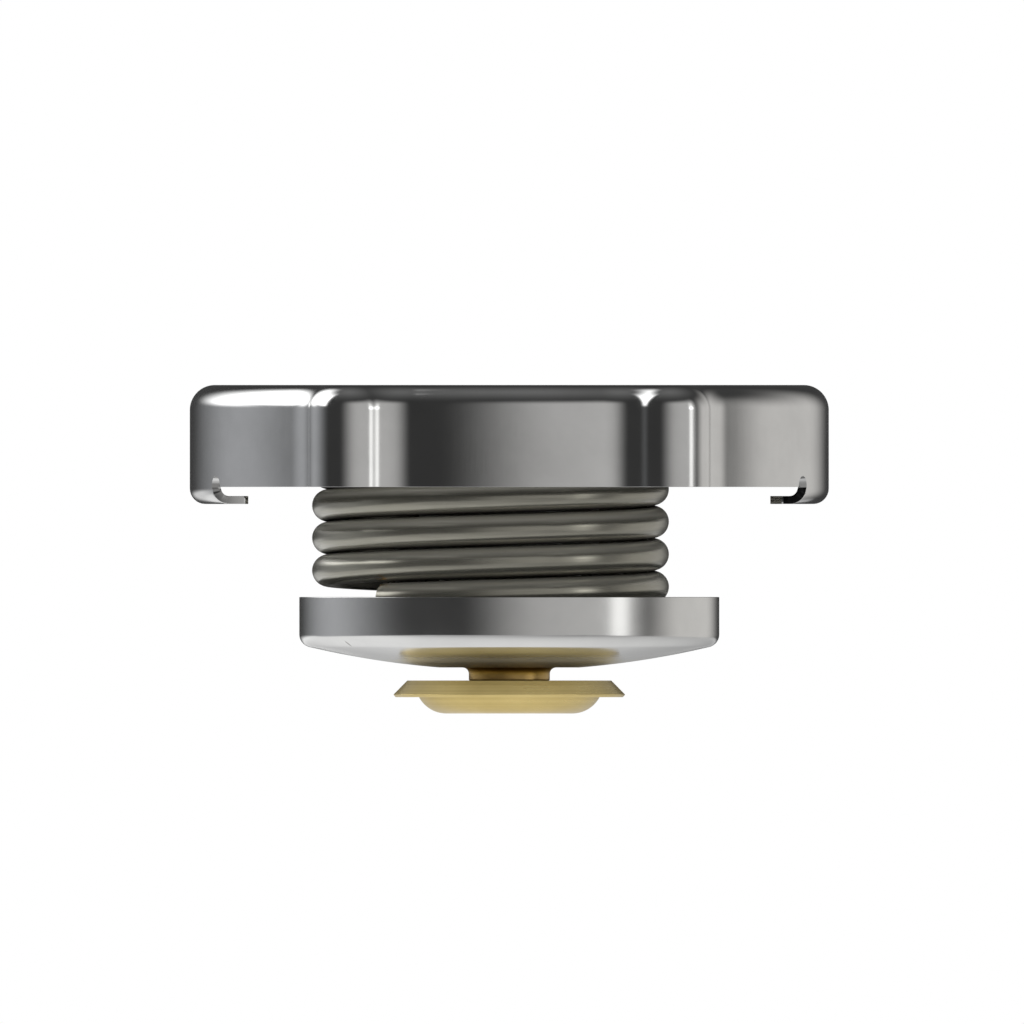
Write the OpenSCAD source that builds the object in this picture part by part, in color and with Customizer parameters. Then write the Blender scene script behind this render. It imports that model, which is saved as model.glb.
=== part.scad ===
// Radiator cap with a bayonet shell, a sprung pressure valve and a brass vacuum valve.
// Millimetres, +Z up, the axis on Z and the foot of the vacuum valve on z = 0.

/* [Cap shell] */
// Radius of the two ear arcs about the axis
ear_r = 31.95; // [29:0.05:36]
// Radius of the front and back grip arcs about the axis
grip_r = 29.5; // [27.5:0.1:33]
// Radius of each rounded grip knob
knob_r = 4.45; // [3.5:0.05:6]
// How far the knobs stand out beyond the ear arcs
knob_out = 1.7; // [1:0.05:2.5]
// Angle of the knobs from the middle of the nearest ear
knob_angle = 57.1; // [53:0.1:61]
// Radius of the hollow between an ear and a knob
ear_blend_r = 6.86; // [5:0.02:9]
// Radius of the hollow between a knob and a grip arc
grip_blend_r = 4.19; // [3:0.01:6]
// Thickness of the shell's sheet
shell_t = 0.8; // [0.5:0.05:1.2]
// Outer rounding of the crown
crown_r = 2.5; // [1.5:0.1:3.4]
// Height of the shell from rim to crown
shell_h = 10.2; // [9:0.1:14]
// Radius of the pressed recess in the middle of the crown
recess_r = 8.5; // [6:0.1:12]
// Depth of the recess
recess_d = 1.55; // [1.3:0.05:2.2]
// How much wider the recess is at the crown than at its floor
recess_draft = 0.9; // [0.3:0.05:1.5]

/* [Bayonet lugs] */
// Width of each lug
lug_w = 23.7; // [18:0.1:28]
// Drop from the rim to the underside of the lug
lug_drop = 1.7; // [1.6:0.05:3]
// Reach of the lug in from the outside of the ear
lug_reach = 5.85; // [4:0.05:7]
// Inner bend radius of the lug
lug_bend_r = 0.75; // [0.4:0.05:0.85]
// How much the bent lug is thinned on each face
lug_thin = 0.03; // [0.025:0.005:0.1]
// Corner cut on the lug's leading corner
lug_lead = 1.3; // [0.6:0.05:2.5]
// Corner cut on the lug's trailing corner
lug_trail = 0.5; // [0.2:0.05:2]
// Radius of the relief hole at each corner of the lug's root
relief_r = 0.9; // [0.6:0.05:1.2]
// Height of the relief hole's centre above the rim
relief_rise = 0.2; // [0:0.05:0.5]

/* [Centre rivet] */
// Radius of the rivet's shank
rivet_r = 2.5; // [1.8:0.1:3.2]
// Radius of the domed head in the recess
rivet_head_r = 4.4; // [3.8:0.1:5.5]
// Height of the domed head
rivet_head_h = 1.1; // [0.7:0.05:1.3]
// Radius of the closed head under the guide cup
rivet_tail_r = 4; // [3.5:0.1:4.6]
// Height of the closed head
rivet_tail_h = 1; // [0.6:0.05:1.5]

/* [Diaphragm and gasket] */
// Thickness of the diaphragm disc
disc_t = 0.4; // [0.25:0.05:0.6]
// Width of the disc's margin outside the gasket
disc_margin = 1.2; // [0.5:0.1:1.6]
// Drop of the disc's outer ring below its middle
disc_step = 0.65; // [0.3:0.05:1]
// Width of the slope between the two levels of the disc
disc_slope_w = 1; // [0.6:0.1:1.4]
// Height of the gasket
gasket_h = 1.5; // [1:0.1:2.5]
// Width of the gasket's sealing face
gasket_w = 3.6; // [2.5:0.1:4]

/* [Main spring] */
// Wire diameter
wire_d = 3.1; // [2.4:0.05:3.2]
// Rise of one turn
spring_pitch = 3.33; // [3.25:0.01:3.8]
// Distance between the two spring seats
spring_h = 19.4; // [17.5:0.1:24]
// Shift of the coil off the axis, towards the left
spring_shift = 1.88; // [0:0.02:2.1]
// Direction of the wire's lower end
spring_start = 229.5; // [0:0.5:359]

/* [Guide and spring seats] */
// Thickness of the pressed seats and the guide cup
seat_t = 0.8; // [0.5:0.05:1.1]
// Height of the guide cup
guide_h = 14.25; // [12.5:0.05:15.5]
// Width of the lip at the guide cup's mouth
guide_lip_w = 1.3; // [1:0.05:1.6]
// Depth of the lip round the upper seat
seat_lip_h = 1.65; // [1:0.05:3]
// Radius of the four flow holes in the sleeve
flow_r = 1.5; // [0.8:0.1:2]
// Rounding where the pan turns down into its skirt
pan_bend_r = 1.4; // [1.2:0.1:2]

/* [Pressure plate] */
// Outer radius of the cup
plate_r = 21; // [20:0.1:21.4]
// Thickness of the cup's sheet
plate_t = 0.8; // [0.5:0.05:1]
// Height of the cup from its flat underside to its rim
plate_h = 7.05; // [6.6:0.05:9]
// Radius of the domed underside
dome_r = 87; // [70:1:120]
// Radius of the flat in the middle of the dome
flat_r = 7; // [6.4:0.1:9]
// Rounding between the dome and the wall
plate_corner_r = 1.3; // [1.1:0.05:1.8]
// Depth of the spring seat below the cup's rim
seat_depth = 1.8; // [1:0.05:2.1]

/* [Vacuum valve] */
// Outer radius of the collar drawn from the plate
collar_r = 4.05; // [3.6:0.05:4.6]
// Radius of the bore through the collar
collar_bore_r = 3.2; // [2.6:0.05:3.4]
// Length of the collar below the plate
collar_h = 1.3; // [1:0.05:2]
// Rounding where the collar leaves the plate
collar_fillet_r = 0.65; // [0.3:0.05:0.9]
// Radius of the flat foot
foot_r = 6.3; // [5:0.1:7.5]
// Height of the bowl between the foot and the flange
bowl_h = 1.63; // [1.2:0.01:2.2]
// Radius of the bowl's side
bowl_r = 3.1; // [2.4:0.05:3.6]
// Outer radius of the flange
flange_r = 11.6; // [10.8:0.05:12.5]
// Height of the flange
flange_h = 1.67; // [1.4:0.01:2.4]
// Height of the flange's square edge
flange_edge_h = 0.25; // [0.1:0.05:0.5]
// How far the flange's rim slants in towards its top
flange_slant = 1.4; // [0.8:0.05:2]
// Radius of the stem
stem_r = 1.5; // [1:0.05:1.9]
// Length of the stem above the flange
stem_h = 8.2; // [7.6:0.1:9.4]
// Outer radius of the rubber washer
seal_r = 4.3; // [4.2:0.1:6]
// Thickness of the rubber washer
seal_t = 0.85; // [0.6:0.05:1.1]
// Outer radius of the stem washer
washer_r = 5.8; // [5.2:0.1:6.2]
// Thickness of the stem washer
washer_t = 0.5; // [0.3:0.05:0.8]
// Length of the stem that is closed over the washer
stem_head_h = 0.5; // [0.3:0.05:0.8]
// Radius of the closed stem end
stem_head_r = 2.2; // [2.1:0.05:3]
// Wire diameter of the vacuum spring
vent_wire_d = 0.4; // [0.25:0.05:0.5]
// Mean radius of the vacuum spring
vent_spring_r = 5; // [4.6:0.1:5.2]
// Turns of the vacuum spring
vent_turns = 4; // [3:0.25:5]

/* [Clearances] */
// Radial gap of the parts that turn on the rivet
turn_gap = 0.05; // [0.02:0.01:0.1]
// Gap between faces that slide or lift apart
face_gap = 0.05; // [0.02:0.01:0.1]
// Radial gap between the guide cup and the sleeve
slide_gap = 0.3; // [0.2:0.05:0.4]
// Gap between pieces pressed into one another
press_gap = 0.03; // [0.02:0.01:0.06]
// Room between the main spring and the cup's wall
spring_room = 2.35; // [2.2:0.05:3]
// Room between the main spring and the sleeve
sleeve_room = 3.35; // [3:0.05:4]
// Room between the cup's wall and the skirt of the pan
skirt_room = 0.6; // [0.3:0.05:0.9]
// Room between the pressure plate and the gasket
neck_room = 1.3; // [1.1:0.05:1.5]

/* [Hidden] */
$fn = 96;
eps = 0.01;
valve_top_z = bowl_h + flange_h;
plate_z = valve_top_z + collar_h;
floor_z = plate_z + plate_t;
plate_rim_z = plate_z + plate_h;
pan_z = plate_rim_z - seat_depth;
top_seat_z = pan_z + spring_h;
disc_z = top_seat_z + seat_t;
recess_under_z = disc_z + disc_t + face_gap;
recess_z = recess_under_z + shell_t;
shell_z = recess_z + recess_d;
rim_z = shell_z - shell_h;
lug_z = rim_z - lug_drop;
lug_tip = ear_r - lug_reach;
lug_t = shell_t - 2 * lug_thin;

spring_r = plate_r - plate_t - spring_room;
coil_r = spring_r - wire_d / 2;
sleeve_r = spring_r - wire_d - sleeve_room;
guide_lip_r = sleeve_r - seat_t - slide_gap;
guide_r = guide_lip_r - guide_lip_w;
guide_z = top_seat_z - guide_h;
stop_z = guide_z + seat_t + face_gap;
skirt_r = plate_r - plate_t - skirt_room;
top_seat_r = plate_r - slide_gap;

gasket_in_r = plate_r + neck_room;
gasket_r = gasket_in_r + gasket_w;
disc_r = gasket_r + disc_margin;
disc_low_z = disc_z - disc_step;

dome_z = plate_z + sqrt(dome_r * dome_r - flat_r * flat_r);
corner_x = plate_r - plate_corner_r;
corner_z = dome_z - sqrt(pow(dome_r - plate_corner_r, 2) - corner_x * corner_x);

washer_z = valve_top_z + stem_h - stem_head_h - washer_t;
seal_z = valve_top_z - face_gap - seal_t;
knob_ring_r = ear_r + knob_out - knob_r;
knob_c = knob_ring_r * [cos(knob_angle), sin(knob_angle)];
ear_blend_c = apex(ear_r + ear_blend_r, knob_c, knob_r + ear_blend_r, -1);
grip_blend_c = apex(grip_r + grip_blend_r, knob_c, knob_r + grip_blend_r, 1);

// The point at distance a from the axis and b from p, on the given side of the line to p
function apex(a, p, b, side) =
    let (d = norm(p), along = (a * a + d * d - b * b) / (2 * d), up = sqrt(a * a - along * along))
    along * p / d + side * up * [-p[1], p[0]] / d;

function bearing(from, to) = atan2(to[1] - from[1], to[0] - from[0]);

function polar(r, angle) = r * [cos(angle), sin(angle)];

function arc(centre, r, from, to, steps) =
    [for (i = [0 : steps - 1]) centre + polar(r, from + (to - from) * i / steps)];

// A quarter of the lobed outline, drawn in by inset: ear, hollow, knob, hollow and grip arcs,
// each tangent to the next
function quarter_outline(inset) =
    let (ear_end = bearing([0, 0], ear_blend_c), grip_end = bearing([0, 0], grip_blend_c))
    concat(arc([0, 0], ear_r - inset, 0, ear_end, 12),
           arc(ear_blend_c, ear_blend_r + inset, 180 + ear_end, 360 + bearing(ear_blend_c, knob_c), 5),
           arc(knob_c, knob_r - inset, bearing(knob_c, ear_blend_c), bearing(knob_c, grip_blend_c), 12),
           arc(grip_blend_c, grip_blend_r + inset, 360 + bearing(grip_blend_c, knob_c), 180 + grip_end, 7),
           arc([0, 0], grip_r - inset, grip_end, 90, 5), [[0, grip_r - inset]]);

// The whole outline, from the quarter and its mirror image, anticlockwise
function lobed_outline(inset) =
    let (quarter = quarter_outline(inset), last = len(quarter) - 1,
         half = concat(quarter, [for (i = [1 : last - 1]) [-quarter[last - i][0], quarter[last - i][1]]]))
    concat(half, [for (p = half) -p]);

function ring(outline, z) = [for (p = outline) [p[0], p[1], z]];

function circle_ring(r, z) = ring([for (p = lobed_outline(0)) r * p / norm(p)], z);

function crown(inset, steps) =
    let (round = crown_r - inset, low = shell_z - crown_r)
    [for (i = [0 : steps]) let (turned = 90 * i / steps)
        ring(lobed_outline(inset + round * (1 - cos(turned))), low + round * sin(turned))];

// A closed skin over rings of equal count, the last one joined back to the first
module skin(rings) {
    count = len(rings[0]);
    faces = [for (r = [0 : len(rings) - 1], i = [0 : count - 1])
        let (next = (r + 1) % len(rings), a = r * count + i, b = r * count + (i + 1) % count,
             c = next * count + (i + 1) % count, d = next * count + i)
        each [[a, c, b], [a, d, c]]];
    polyhedron([for (r = rings) each r], faces);
}

// The sheet all round: up the outside, over the crown, into the recess, through the hole and back inside
module lobed_sheet() {
    hole_r = rivet_r + press_gap;
    under = crown(shell_t, 5);
    skin(concat(
        [ring(lobed_outline(0), rim_z)], crown(0, 6),
        [circle_ring(recess_r + recess_draft, shell_z), circle_ring(recess_r, recess_z),
         circle_ring(hole_r, recess_z), circle_ring(hole_r, recess_under_z),
         circle_ring(recess_r + shell_t, recess_under_z),
         circle_ring(recess_r + recess_draft + shell_t, shell_z - shell_t)],
        [for (i = [len(under) - 1 : -1 : 0]) under[i]],
        [ring(lobed_outline(shell_t), rim_z)]));
}

// The sheet's section through a lug: out of the wall, round the bend and in towards the axis
module lug_section() {
    bend = lug_bend_r + lug_t;
    outer = ear_r - lug_thin;
    translate([outer - lug_t, lug_z + bend]) square([lug_t, rim_z - lug_z - bend + shell_t]);
    translate([lug_tip - lug_t, lug_z]) square([outer - bend - lug_tip + lug_t, lug_t]);
    translate([outer - bend, lug_z + bend]) intersection() {
        difference() {
            circle(bend);
            circle(lug_bend_r);
        }
        translate([0, -bend]) square(bend);
    }
}

// One lug on the +X ear, its leading corner towards -Y
module lug() {
    half = lug_w / 2;
    sweep = asin(half / (lug_tip - lug_t)) + 1;
    intersection() {
        rotate_extrude(angle = 2 * sweep, start = -sweep) lug_section();
        translate([0, 0, lug_z - 1]) linear_extrude(lug_drop + shell_t + 2)
            polygon([[lug_tip + lug_lead, -half], [lug_tip, lug_lead - half], [lug_tip, half - lug_trail],
                     [lug_tip + lug_trail, half], [ear_r + 1, half], [ear_r + 1, -half]]);
    }
}

module cap_shell() {
    relief_y = lug_w / 2 + relief_r * 0.83;
    color([0.72, 0.72, 0.72]) difference() {
        union() {
            lobed_sheet();
            for (side = [0, 180]) rotate(side) lug();
        }
        for (side = [0, 180], flank = [-1, 1])
            rotate(side) translate([lug_tip, flank * relief_y, rim_z + relief_rise]) rotate([0, 90, 0])
                cylinder(h = lug_reach + 1, r = relief_r);
    }
}

module centre_rivet() {
    tail_z = top_seat_z - seat_t - face_gap;
    dome = (rivet_head_r * rivet_head_r + rivet_head_h * rivet_head_h) / (2 * rivet_head_h);
    color([0.6, 0.6, 0.6]) {
        translate([0, 0, tail_z - eps]) cylinder(h = recess_z - tail_z + 2 * eps, r = rivet_r);
        translate([0, 0, tail_z - rivet_tail_h]) cylinder(h = rivet_tail_h, r = rivet_tail_r);
        rotate_extrude() intersection() {
            translate([0, recess_z + rivet_head_h - dome]) circle(dome);
            translate([0, recess_z]) square([rivet_head_r, rivet_head_h]);
        }
    }
}

module diaphragm_disc() {
    inner = gasket_in_r - disc_slope_w;
    color([0.7, 0.68, 0.62]) rotate_extrude() polygon([
        [rivet_r + turn_gap, disc_z], [inner, disc_z], [gasket_in_r, disc_low_z], [disc_r, disc_low_z],
        [disc_r, disc_low_z + disc_t], [gasket_in_r, disc_low_z + disc_t], [inner, disc_z + disc_t],
        [rivet_r + turn_gap, disc_z + disc_t]]);
}

module neck_gasket() {
    color([0.12, 0.12, 0.12]) translate([0, 0, disc_low_z - gasket_h]) difference() {
        cylinder(h = gasket_h, r = gasket_r);
        translate([0, 0, -1]) cylinder(h = gasket_h + 2, r = gasket_in_r);
    }
}

module upper_spring_seat() {
    lip_z = top_seat_z - seat_lip_h;
    color([0.62, 0.62, 0.6]) difference() {
        translate([0, 0, lip_z]) cylinder(h = seat_t + seat_lip_h, r = top_seat_r);
        translate([0, 0, lip_z - 1]) cylinder(h = seat_lip_h + 1, r = top_seat_r - seat_t);
        translate([0, 0, top_seat_z - 1]) cylinder(h = seat_t + 2, r = rivet_r + turn_gap);
    }
}

module guide_cup() {
    color([0.62, 0.62, 0.6]) difference() {
        union() {
            translate([0, 0, guide_z]) cylinder(h = guide_h, r = guide_r);
            translate([0, 0, guide_z]) cylinder(h = seat_t, r = guide_lip_r);
        }
        translate([0, 0, guide_z - 1]) cylinder(h = guide_h - seat_t + 1, r = guide_r - seat_t);
        translate([0, 0, top_seat_z - seat_t - 1]) cylinder(h = seat_t + 2, r = rivet_r + turn_gap);
    }
}

// A round wire wound about the axis, its centre line rising from low to high
module coil(r, wire, low, high, turns, start, sides, steps) {
    rings = ceil(turns * steps);
    lean = atan2(high - low, 360 * turns * PI / 180 * r);
    points = [for (i = [0 : rings], k = [0 : sides - 1])
        let (turned = start + 360 * turns * i / rings, round = 360 * k / sides,
             out = r + wire / 2 * cos(round), side = -wire / 2 * sin(round) * sin(lean))
        [out * cos(turned) - side * sin(turned), out * sin(turned) + side * cos(turned),
         low + (high - low) * i / rings + wire / 2 * sin(round) * cos(lean)]];
    sleeve = [for (i = [0 : rings - 1], k = [0 : sides - 1])
        let (a = i * sides + k, b = i * sides + (k + 1) % sides)
        each [[a, a + sides, b], [b, a + sides, b + sides]]];
    ends = [[for (k = [0 : sides - 1]) k], [for (k = [sides - 1 : -1 : 0]) rings * sides + k]];
    polyhedron(points, concat(sleeve, ends));
}

module main_spring() {
    low = pan_z + wire_d / 2 + face_gap;
    high = top_seat_z - wire_d / 2 - face_gap;
    color([0.4, 0.39, 0.34]) translate([-spring_shift, 0, 0])
        coil(coil_r, wire_d, low, high, (high - low) / spring_pitch, spring_start, 12, 32);
}

module spring_pan() {
    drop = pan_z - seat_t;
    skirt_z = corner_z - plate_corner_r + 2 * plate_t;
    color([0.62, 0.62, 0.6]) difference() {
        rotate_extrude() {
            translate([sleeve_r - seat_t, drop]) square([seat_t, stop_z + seat_t - drop]);
            translate([guide_r + slide_gap, stop_z]) square([sleeve_r - guide_r - slide_gap, seat_t]);
            translate([sleeve_r - seat_t, drop]) square([skirt_r - pan_bend_r - sleeve_r + seat_t, seat_t]);
            translate([skirt_r - seat_t, skirt_z]) square([seat_t, pan_z - pan_bend_r - skirt_z]);
            translate([skirt_r - pan_bend_r, pan_z - pan_bend_r]) intersection() {
                difference() {
                    circle(pan_bend_r);
                    circle(pan_bend_r - seat_t);
                }
                square(pan_bend_r);
            }
        }
        for (turn = [45 : 90 : 315])
            rotate(turn) translate([0, 0, (pan_z + stop_z) / 2]) rotate([0, 90, 0])
                cylinder(h = sleeve_r + 1, r = flow_r);
    }
}

// Half section of the cup's solid, drawn in by inset from its outer face
module cup_section(inset) {
    edge_x = (dome_r - inset) * corner_x / (dome_r - plate_corner_r);
    translate([0, corner_z]) square([plate_r - inset, plate_rim_z - corner_z]);
    translate([corner_x, corner_z]) circle(plate_corner_r - inset);
    intersection() {
        translate([0, dome_z]) circle(dome_r - inset);
        translate([0, plate_z + inset]) square([edge_x, corner_z - plate_z]);
    }
}

module pressure_plate() {
    color([0.78, 0.78, 0.77]) difference() {
        rotate_extrude() {
            difference() {
                cup_section(0);
                cup_section(plate_t);
                translate([0, plate_rim_z - eps]) square([plate_r - plate_t, 1]);
            }
            translate([0, valve_top_z]) square([collar_r, plate_z - valve_top_z + eps]);
            translate([collar_r - eps, plate_z - collar_fillet_r]) difference() {
                square([collar_fillet_r + eps, collar_fillet_r + eps]);
                translate([collar_fillet_r + eps, 0]) circle(collar_fillet_r);
            }
        }
        translate([0, 0, valve_top_z - 1]) cylinder(h = collar_h + plate_t + 2, r = collar_bore_r);
    }
}

module vacuum_valve() {
    color([0.78, 0.66, 0.38]) difference() {
        union() {
            rotate_extrude() {
                intersection() {
                    translate([foot_r, bowl_r]) circle(bowl_r);
                    square([foot_r + bowl_r, bowl_h]);
                }
                square([foot_r, bowl_h]);
                polygon([[0, bowl_h - eps], [flange_r - flange_edge_h, bowl_h],
                         [flange_r, bowl_h + flange_edge_h], [flange_r - flange_slant, valve_top_z],
                         [0, valve_top_z]]);
            }
            translate([0, 0, valve_top_z - eps]) cylinder(h = stem_h - stem_head_h + eps, r = stem_r);
            translate([0, 0, valve_top_z + stem_h - stem_head_h]) cylinder(h = stem_head_h, r = stem_head_r);
        }
        translate([0, 0, seal_z - press_gap]) difference() {
            cylinder(h = flange_h, r = seal_r + press_gap);
            translate([0, 0, -1]) cylinder(h = stem_h, r = stem_r);
        }
    }
}

module vacuum_seal() {
    color([0.1, 0.1, 0.1]) translate([0, 0, seal_z]) difference() {
        cylinder(h = seal_t, r = seal_r);
        translate([0, 0, -1]) cylinder(h = seal_t + 2, r = stem_r + press_gap);
    }
}

module vacuum_spring() {
    low = floor_z + vent_wire_d / 2 + face_gap;
    high = washer_z - vent_wire_d / 2 - face_gap;
    color([0.7, 0.7, 0.7]) coil(vent_spring_r, vent_wire_d, low, high, vent_turns, 0, 8, 24);
}

module stem_washer() {
    color([0.65, 0.65, 0.63]) translate([0, 0, washer_z]) difference() {
        cylinder(h = washer_t, r = washer_r);
        translate([0, 0, -1]) cylinder(h = washer_t + 2, r = stem_r + press_gap);
    }
}

cap_shell();
centre_rivet();
diaphragm_disc();
neck_gasket();
upper_spring_seat();
guide_cup();
main_spring();
spring_pan();
pressure_plate();
vacuum_valve();
vacuum_seal();
vacuum_spring();
stem_washer();
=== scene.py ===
import bpy
import bmesh
from math import acos, asin, atan2, cos, degrees, hypot, pi, radians, sin, sqrt, tan
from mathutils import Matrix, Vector


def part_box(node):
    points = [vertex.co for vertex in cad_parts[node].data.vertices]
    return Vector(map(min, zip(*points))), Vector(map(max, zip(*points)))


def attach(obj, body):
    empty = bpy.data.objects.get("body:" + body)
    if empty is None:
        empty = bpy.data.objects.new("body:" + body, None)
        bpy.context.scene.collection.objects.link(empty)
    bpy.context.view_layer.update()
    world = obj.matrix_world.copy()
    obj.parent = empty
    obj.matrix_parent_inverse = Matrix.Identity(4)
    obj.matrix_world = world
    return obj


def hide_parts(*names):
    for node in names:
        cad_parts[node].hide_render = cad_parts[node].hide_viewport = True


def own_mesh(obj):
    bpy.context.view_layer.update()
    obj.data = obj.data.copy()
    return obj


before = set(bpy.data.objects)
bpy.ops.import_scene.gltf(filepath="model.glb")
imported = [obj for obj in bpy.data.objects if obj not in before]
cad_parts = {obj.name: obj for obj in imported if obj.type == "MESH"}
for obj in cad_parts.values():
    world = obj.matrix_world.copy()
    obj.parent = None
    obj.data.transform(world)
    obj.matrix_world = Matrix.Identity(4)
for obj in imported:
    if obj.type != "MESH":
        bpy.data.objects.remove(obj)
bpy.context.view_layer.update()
mm = 0.001
scene = bpy.context.scene
scene.view_settings.view_transform = "Standard"


def boxMm(node):
    low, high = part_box(node)
    return low / mm, high / mm


def addObject(name, data):
    thing = bpy.data.objects.new(name, data)
    scene.collection.objects.link(thing)
    return thing


def meshFrom(name, bm):
    mesh = bpy.data.meshes.new(name)
    bm.to_mesh(mesh)
    bm.free()
    return mesh


def newMaterial(name):
    material = bpy.data.materials.new(name)
    material.use_nodes = True
    return material, material.node_tree


# small helpers for node trees
def feed(tree, socket, value):
    # another socket is linked, anything else is the socket's own value
    if isinstance(value, bpy.types.NodeSocket):
        tree.links.new(value, socket)
    else:
        socket.default_value = value


def addNode(tree, kind, values=None, **settings):
    node = tree.nodes.new(kind)
    for key, value in settings.items():
        setattr(node, key, value)
    for key, value in (values or {}).items():
        feed(tree, node.inputs[key], value)
    return node


def addMath(tree, operation, *values):
    return addNode(tree, "ShaderNodeMath", dict(enumerate(values)), operation=operation).outputs[0]


def multiply(tree, first, second):
    return addMath(tree, "MULTIPLY", first, second)


def addVector(tree, operation, values):
    return addNode(tree, "ShaderNodeVectorMath", values, operation=operation).outputs


def joinSides(tree, values):
    return addNode(tree, "ShaderNodeCombineXYZ", values).outputs[0]


def distanceTo(tree, spot, place):
    return addVector(tree, "DISTANCE", {0: spot, 1: [v * mm for v in place]})["Value"]


def addRange(tree, value, fromMin, fromMax, toMin, toMax, smooth=False):
    ends = {"Value": value, "From Min": fromMin, "From Max": fromMax, "To Min": toMin, "To Max": toMax}
    kind = "SMOOTHSTEP" if smooth else "LINEAR"
    return addNode(tree, "ShaderNodeMapRange", ends, clamp=True, interpolation_type=kind).outputs["Result"]


def addShares(tree, first, share, second, rest):
    parts = [multiply(tree, *pair) for pair in ((first, share), (second, rest))]
    return addMath(tree, "ADD", *parts)


def addMix(tree, factor, first, second):
    return addNode(tree, "ShaderNodeMixShader", {0: factor, 1: first.outputs[0], 2: second.outputs[0]})


def addNoise(tree, spot, values):
    return addNode(tree, "ShaderNodeTexNoise", {"Vector": spot, **values}).outputs["Fac"]


def objectSpot(tree):
    return addNode(tree, "ShaderNodeTexCoord").outputs["Object"]


def sidesOf(tree, vector):
    return addNode(tree, "ShaderNodeSeparateXYZ", {0: vector}).outputs


def awayFrom(tree, x, y):
    squares = [multiply(tree, side, side) for side in (x, y)]
    return addMath(tree, "SQRT", addMath(tree, "ADD", *squares))


def newGroup(name, inputs, outputs):
    tree = bpy.data.node_groups.new(name, "ShaderNodeTree")
    for label, value in inputs.items():
        tree.interface.new_socket(label, in_out="INPUT", socket_type="NodeSocketFloat").default_value = value
    for label in outputs:
        tree.interface.new_socket(label, in_out="OUTPUT", socket_type="NodeSocketFloat")
    return tree, tree.nodes.new("NodeGroupInput").outputs, tree.nodes.new("NodeGroupOutput").inputs


# camera: level, straight from the front, no perspective
cameraLook = {"width": 102.4, "centreX": 0.27, "centreZ": 20.15, "distance": 900}

cameraData = bpy.data.cameras.new("camera")
cameraData.type = "ORTHO"
cameraData.ortho_scale = cameraLook["width"] * mm
cameraData.clip_start, cameraData.clip_end = 0.01, 10
camera = addObject("camera", cameraData)
camera.location = (cameraLook["centreX"] * mm, -cameraLook["distance"] * mm, cameraLook["centreZ"] * mm)
camera.rotation_euler = (radians(90), 0, 0)
scene.camera = camera

# studio: white ground, pale table, softboxes that the metal shows
# each softbox is left and right azimuth from the camera with the softness of both edges,
# lower and upper elevation with their softness, strength and colour
studio = {
    "roomGlow": 0.05, "ceilingGlow": 0.15, "ceilingFrom": 35, "ceilingTo": 95,
    "domeSize": 2.0, "fillLight": 0.75,
    "softboxes": {
        "leftPanel": (-140, 25, -85, 29, -40, 4, 50, 20, 0.45, (0.97, 0.99, 1.03)),
        "frontFill": (-4, 24, 76, 8, -40, 4, 36, 11, 0.485, (1.01, 1.0, 0.985)),
        "frontGlow": (24, 14, 76, 8, -40, 4, 36, 11, 0.06, (1.01, 1.0, 0.985)),
        "stripLight": (58, 3, 68.5, 3, -40, 4, 24, 10, 0.85, (1.0, 1.0, 0.99)),
        "stripTop": (57, 3, 69.5, 3, 5, 2, 13, 4, 1.5, (1.0, 1.0, 1.0)),
        "rightPanel": (91, 18, 151, 14, -40, 4, 25, 21, 0.69, (1.02, 1.0, 0.97)),
        "backLeftLow": (-168, 6, -140, 12, -40, 4, -4, 3, 0.7, (1.0, 1.0, 1.0)),
        "backLeftSoftbox": (-146, 17, -112, 14, 11, 5, 60, 14, 2.3, (1.0, 1.0, 1.0)),
        "leftTopSoftbox": (-112, 14, -70, 6, 16, 4, 60, 14, 2.4, (1.0, 1.0, 1.0)),
    },
}
softboxEdges = ("Left", "Left Soft", "Right", "Right Soft", "Low", "Low Soft", "High", "High Soft")


def softboxGroup():
    names = dict.fromkeys(("Azimuth", "Elevation") + softboxEdges, 0)
    tree, given, out = newGroup("softbox", names, ["Mask"])

    def edge(value, place, rising):
        soft = given[place + " Soft"]
        low = addMath(tree, "SUBTRACT", given[place], soft)
        high = addMath(tree, "ADD", given[place], soft)
        return addRange(tree, given[value], low, high, 0 if rising else 1, 1 if rising else 0, True)

    across = multiply(tree, edge("Azimuth", "Left", True), edge("Azimuth", "Right", False))
    upright = multiply(tree, edge("Elevation", "Low", True), edge("Elevation", "High", False))
    feed(tree, out["Mask"], multiply(tree, across, upright))
    return tree


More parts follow.
